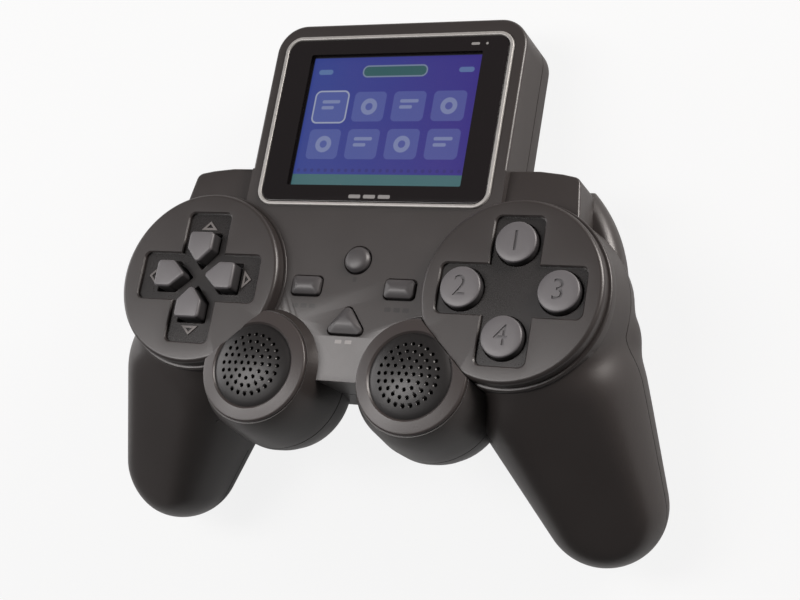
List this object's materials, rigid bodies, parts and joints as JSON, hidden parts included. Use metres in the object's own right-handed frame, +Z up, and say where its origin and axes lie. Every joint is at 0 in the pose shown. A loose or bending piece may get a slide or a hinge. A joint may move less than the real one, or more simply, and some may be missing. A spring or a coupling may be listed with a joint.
{
  "type": "handheld game console",
  "caption": "Handheld game console shaped like a gamepad: rounded grips, direction pad, round face buttons, perforated speaker domes, centre keys and a screen block above the panel.",
  "frame": {"origin": "centre of the bounding box's bottom face, on the table that the console rests on", "axes": "+X to the player's right, +Y towards the screen end, +Z up; the face leans 15.7 degrees towards +Y as it rests on both grip tips and the screen block's rear edge"},
  "size_m": [0.1546, 0.1368, 0.0522],
  "materials": {
    "case_plastic": "fine matte grain",
    "key_plastic": "satin",
    "grille_plastic": "satin",
    "trim_silver": "satin silver plating",
    "lens_black": "polished",
    "display": "lit display",
    "sheet_steel": "bright sheet",
    "ribbon_film": "clear amber film",
    "board_green": "solder mask",
    "chip_black": "moulded",
    "membrane_rubber": "soft",
    "speaker_black": "satin",
    "battery_wrap": "shrink wrap",
    "contact_brass": "plated",
    "screw_steel": "zinc plated"
  },
  "bodies": {
    "case": {"front_shell": "case_plastic", "rear_shell": "case_plastic", "left_speaker_grille": "grille_plastic", "right_speaker_grille": "grille_plastic", "screen_trim": "trim_silver", "screen_lens": "lens_black", "lcd_panel": "display", "lcd_frame": "sheet_steel", "usb_socket": "sheet_steel", "lcd_ribbon": "ribbon_film", "main_board": "board_green", "left_button_board": "board_green", "right_button_board": "board_green", "main_chip": "chip_black", "av_jack": "chip_black", "dpad_membrane": "membrane_rubber", "face_membrane": "membrane_rubber", "centre_membrane": "membrane_rubber", "left_speaker": "speaker_black", "right_speaker": "speaker_black", "battery": "battery_wrap", "battery_contacts": "contact_brass", "case_screws": "screw_steel", "board_screws": "screw_steel"},
    "dpad_pivot": {"dpad_pivot": "key_plastic"},
    "dpad": {"direction_pad": "key_plastic"},
    "button_top": {"face_button_top": "key_plastic"},
    "button_left": {"face_button_left": "key_plastic"},
    "button_right": {"face_button_right": "key_plastic"},
    "button_bottom": {"face_button_bottom": "key_plastic"},
    "select": {"select_key": "key_plastic"},
    "start": {"start_key": "key_plastic"},
    "reset": {"reset_key": "key_plastic"},
    "power": {"power_key": "key_plastic"},
    "door": {"battery_door": "case_plastic"}
  },
  "joints": [
    {"name": "dpad_up_down", "type": "hinge", "parent": "case", "child": "dpad_pivot", "pos_m": [-0.0436, -0.00298, 0.03683], "axis": [1, 0, 0], "range_deg": [-3, 3], "stiffness_Nm_per_rad": 0.3},
    {"name": "dpad_left_right", "type": "hinge", "parent": "dpad_pivot", "child": "dpad", "pos_m": [-0.0436, -0.00298, 0.03683], "axis": [0, 0.9629, -0.27], "range_deg": [-3, 3], "stiffness_Nm_per_rad": 0.3},
    {"name": "button_top_press", "type": "slide", "parent": "case", "child": "button_top", "axis": [0, -0.27, -0.9629], "range_m": [0, 0.0012], "stiffness_N_per_m": 600},
    {"name": "button_left_press", "type": "slide", "parent": "case", "child": "button_left", "axis": [0, -0.27, -0.9629], "range_m": [0, 0.0012], "stiffness_N_per_m": 600},
    {"name": "button_right_press", "type": "slide", "parent": "case", "child": "button_right", "axis": [0, -0.27, -0.9629], "range_m": [0, 0.0012], "stiffness_N_per_m": 600},
    {"name": "button_bottom_press", "type": "slide", "parent": "case", "child": "button_bottom", "axis": [0, -0.27, -0.9629], "range_m": [0, 0.0012], "stiffness_N_per_m": 600},
    {"name": "select_press", "type": "slide", "parent": "case", "child": "select", "axis": [0, -0.27, -0.9629], "range_m": [0, 0.0009], "stiffness_N_per_m": 600},
    {"name": "start_press", "type": "slide", "parent": "case", "child": "start", "axis": [0, -0.27, -0.9629], "range_m": [0, 0.0009], "stiffness_N_per_m": 600},
    {"name": "reset_press", "type": "slide", "parent": "case", "child": "reset", "axis": [0, -0.27, -0.9629], "range_m": [0, 0.0009], "stiffness_N_per_m": 600},
    {"name": "power_press", "type": "slide", "parent": "case", "child": "power", "axis": [0, -0.27, -0.9629], "range_m": [0, 0.0009], "stiffness_N_per_m": 600},
    {"name": "door_slide", "type": "slide", "parent": "case", "child": "door", "axis": [0, 0.9629, -0.27], "range_m": [0, 0.012]}
  ]
}
